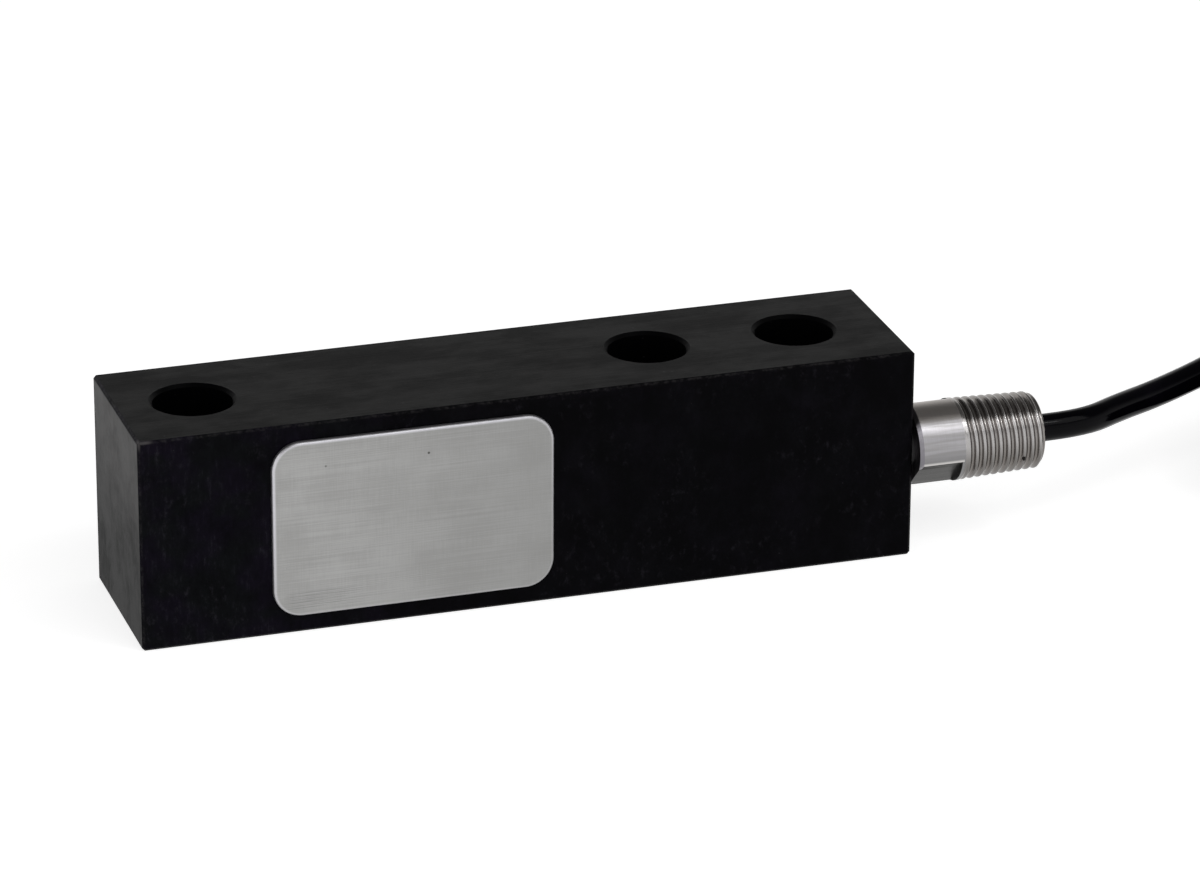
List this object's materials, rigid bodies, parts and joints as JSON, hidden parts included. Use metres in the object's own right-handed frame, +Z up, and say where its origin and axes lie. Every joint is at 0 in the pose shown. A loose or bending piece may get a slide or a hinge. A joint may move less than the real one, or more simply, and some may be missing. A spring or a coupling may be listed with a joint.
{
  "type": "shear beam load cell",
  "caption": "Blackened steel shear beam load cell with a bonded gauge cover, bolt holes, a threaded conduit adapter and its cable put away in a tied hank.",
  "frame": {"origin": "centre of the beam's base face", "axes": "+X along the beam from the loaded end to the cable end, -Y out of the face with the cover plate, +Z up through the bolt holes"},
  "size_m": [0.3203, 0.045, 0.036],
  "materials": {
    "blackened_steel": "black conversion coating, matte, faintly brushed on top",
    "cover_steel": "brushed lengthwise, satin",
    "adapter_steel": "turned stainless steel, bright",
    "adhesive": "thin clear film",
    "potting": "black sealing compound, satin",
    "gauge_film": "amber polyimide film",
    "gauge_foil": "etched constantan foil",
    "board": "green glass-epoxy laminate",
    "solder_pads": "tinned copper",
    "resistor": "ceramic chip with a dark glaze",
    "lead_wire": "enamelled copper wire",
    "sealing_rubber": "black nitrile rubber, matte",
    "cable_jacket": "black polyurethane, glossy",
    "tie_nylon": "black nylon",
    "core_red": "coloured core insulation",
    "core_black": "coloured core insulation",
    "core_green": "coloured core insulation",
    "core_white": "coloured core insulation",
    "tinned_copper": "tinned copper strands"
  },
  "bodies": {
    "root": {"beam_body": "blackened_steel", "cover_plate": "cover_steel", "cover_adhesive": "adhesive", "rear_potting": "potting", "front_gauge_carrier": "gauge_film", "rear_gauge_carrier": "gauge_film", "front_gauge_grids": "gauge_foil", "rear_gauge_grids": "gauge_foil", "bridge_board": "board", "board_pads": "solder_pads", "trim_resistors": "resistor", "front_gauge_leads": "lead_wire", "rear_gauge_leads": "lead_wire", "core_red": "core_red", "core_black": "core_black", "core_green": "core_green", "core_white": "core_white", "core_drain": "tinned_copper", "conduit_adapter": "adapter_steel", "entry_gasket": "sealing_rubber", "cable_bush": "sealing_rubber", "cable_jacket": "cable_jacket", "cable_hank": "cable_jacket", "hank_ties": "tie_nylon", "cable_tail": "cable_jacket", "tail_core_red": "core_red", "tail_core_black": "core_black", "tail_core_green": "core_green", "tail_core_white": "core_white", "tail_drain": "tinned_copper", "tail_tips": "tinned_copper"}
  },
  "joints": []
}
